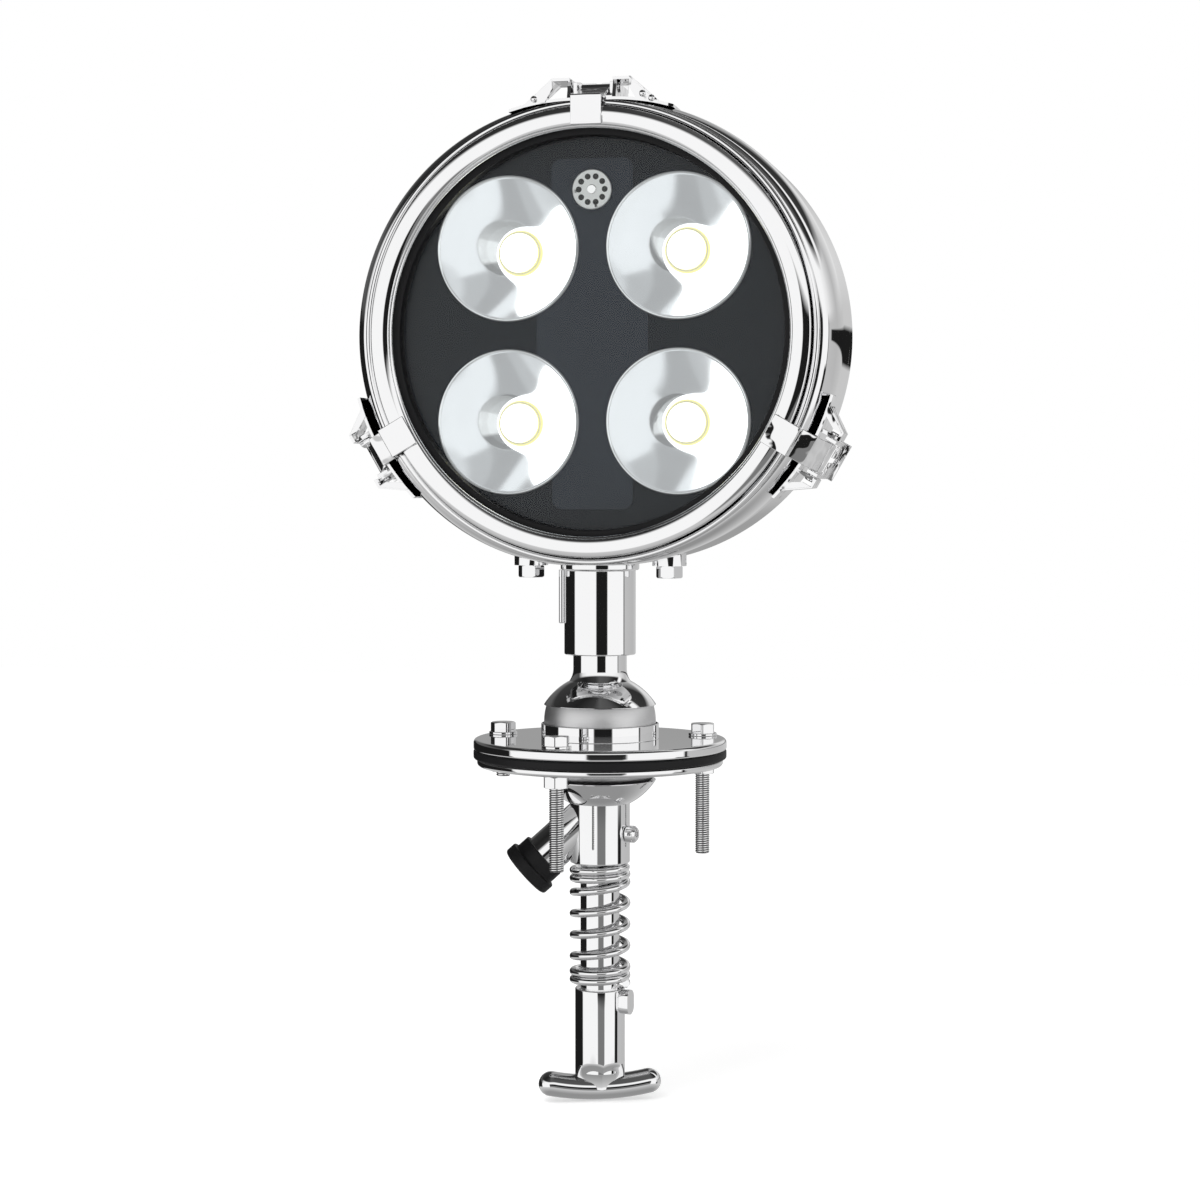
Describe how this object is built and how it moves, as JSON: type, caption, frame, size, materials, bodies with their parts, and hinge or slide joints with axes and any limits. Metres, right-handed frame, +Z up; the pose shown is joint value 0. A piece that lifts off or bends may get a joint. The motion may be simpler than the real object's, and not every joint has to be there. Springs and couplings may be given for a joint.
{
  "type": "marine searchlight",
  "caption": "Polished steel searchlight with reflectors behind a latched glass front, on a sprung ball joint in a bolted roof flange, aimed from below by a T-handle.",
  "frame": {"origin": "on the column axis at the roof face, under the rubber gasket", "axes": "+Z up along the column, the lamp looks along -Y"},
  "size_m": [0.2776, 0.142, 0.5715],
  "materials": {
    "polished_steel": "mirror-polished stainless steel",
    "satin_steel": "satin stainless steel",
    "rubber": "black rubber",
    "nylon": "natural nylon",
    "glass": "clear toughened glass",
    "panel": "dark slate gloss",
    "film": "bare slate film",
    "reflector": "vacuum-plated mirror",
    "emitter": "white light emitter",
    "board": "white circuit board",
    "heat_sink": "plain aluminium",
    "driver": "black potted box"
  },
  "bodies": {
    "base": {"flange_plate": "polished_steel", "seat_collar": "polished_steel", "lower_seat": "satin_steel", "roof_gasket": "rubber", "backing_ring": "polished_steel", "roof_bolts": "polished_steel", "bolt_washers": "polished_steel", "roof_nuts": "polished_steel"},
    "swivel": {"ball_seat_ring": "nylon"},
    "rocker": {"cup_seal_ring": "rubber"},
    "clamp": {"clamp_cup": "polished_steel", "clamp_collar": "polished_steel", "cable_branch": "polished_steel", "branch_cap": "rubber", "guide_screw": "polished_steel", "clamp_spring": "polished_steel"},
    "head": {"column_tube": "polished_steel", "swivel_ball": "satin_steel", "dome_cap": "polished_steel", "neck_tube": "polished_steel", "head_sleeve": "polished_steel", "side_pin": "polished_steel", "saddle_bolts": "polished_steel", "saddle_washers": "polished_steel", "mount_bracket": "heat_sink", "drum_shell": "polished_steel", "drum_rim": "polished_steel", "rear_cover": "polished_steel", "rear_screws": "polished_steel", "bezel_ring": "polished_steel", "front_glass": "glass", "glass_gasket": "rubber", "mask_panel": "panel", "label_strip": "film", "vent_disc": "satin_steel", "reflector_1": "reflector", "reflector_2": "reflector", "reflector_3": "reflector", "reflector_4": "reflector", "led_boards": "board", "led_emitters": "emitter", "heat_sink": "heat_sink", "driver_box": "driver", "handle_tube": "polished_steel", "handle_bar": "polished_steel", "handle_key": "polished_steel", "latch_base_1": "polished_steel", "latch_base_2": "polished_steel", "latch_base_3": "polished_steel", "latch_rivets": "polished_steel", "latch_pivots": "polished_steel"},
    "lever_1": {"latch_lever_1": "polished_steel", "link_pin_1": "polished_steel"},
    "claw_1": {"latch_claw_1": "polished_steel"},
    "lever_2": {"latch_lever_2": "polished_steel", "link_pin_2": "polished_steel"},
    "claw_2": {"latch_claw_2": "polished_steel"},
    "lever_3": {"latch_lever_3": "polished_steel", "link_pin_3": "polished_steel"},
    "claw_3": {"latch_claw_3": "polished_steel"}
  },
  "joints": [
    {"name": "pan", "type": "hinge", "parent": "base", "child": "swivel", "pos_m": [0, 0, 0.0205], "axis": [0, 0, 1], "range_deg": [-130, 150]},
    {"name": "tilt_fore_aft", "type": "hinge", "parent": "swivel", "child": "rocker", "pos_m": [0, 0, 0.0205], "axis": [1, 0, 0], "range_deg": [-12, 12]},
    {"name": "tilt_sideways", "type": "hinge", "parent": "rocker", "child": "clamp", "pos_m": [0, 0, 0.0205], "axis": [0, 1, 0], "range_deg": [-12, 12]},
    {"name": "release_lift", "type": "slide", "parent": "clamp", "child": "head", "axis": [0, 0, 1], "range_m": [0, 0.003], "stiffness_N_per_m": 6000, "springref_m": -0.02, "deforming": ["clamp_spring"]},
    {"name": "latch_1_lever", "type": "hinge", "parent": "head", "child": "lever_1", "pos_m": [0, -0.014, 0.3705], "axis": [1, 0, 0], "range_deg": [0, 100]},
    {"name": "latch_1_claw", "type": "hinge", "parent": "lever_1", "child": "claw_1", "pos_m": [0, -0.008, 0.3705], "axis": [1, 0, 0], "range_deg": [-125, 0]},
    {"name": "latch_2_lever", "type": "hinge", "parent": "head", "child": "lever_2", "pos_m": [-0.12641, -0.014, 0.168], "axis": [-0.5, 0, 0.866], "range_deg": [0, 100]},
    {"name": "latch_2_claw", "type": "hinge", "parent": "lever_2", "child": "claw_2", "pos_m": [-0.12641, -0.008, 0.168], "axis": [-0.5, 0, 0.866], "range_deg": [-125, 0]},
    {"name": "latch_3_lever", "type": "hinge", "parent": "head", "child": "lever_3", "pos_m": [0.12641, -0.014, 0.168], "axis": [-0.5, 0, -0.866], "range_deg": [0, 100]},
    {"name": "latch_3_claw", "type": "hinge", "parent": "lever_3", "child": "claw_3", "pos_m": [0.12641, -0.008, 0.168], "axis": [-0.5, 0, -0.866], "range_deg": [-125, 0]}
  ],
  "couplings": [
    {"joint": "latch_1_claw", "follows": "latch_1_lever", "ratio": -1.25},
    {"joint": "latch_2_claw", "follows": "latch_2_lever", "ratio": -1.25},
    {"joint": "latch_3_claw", "follows": "latch_3_lever", "ratio": -1.25}
  ]
}
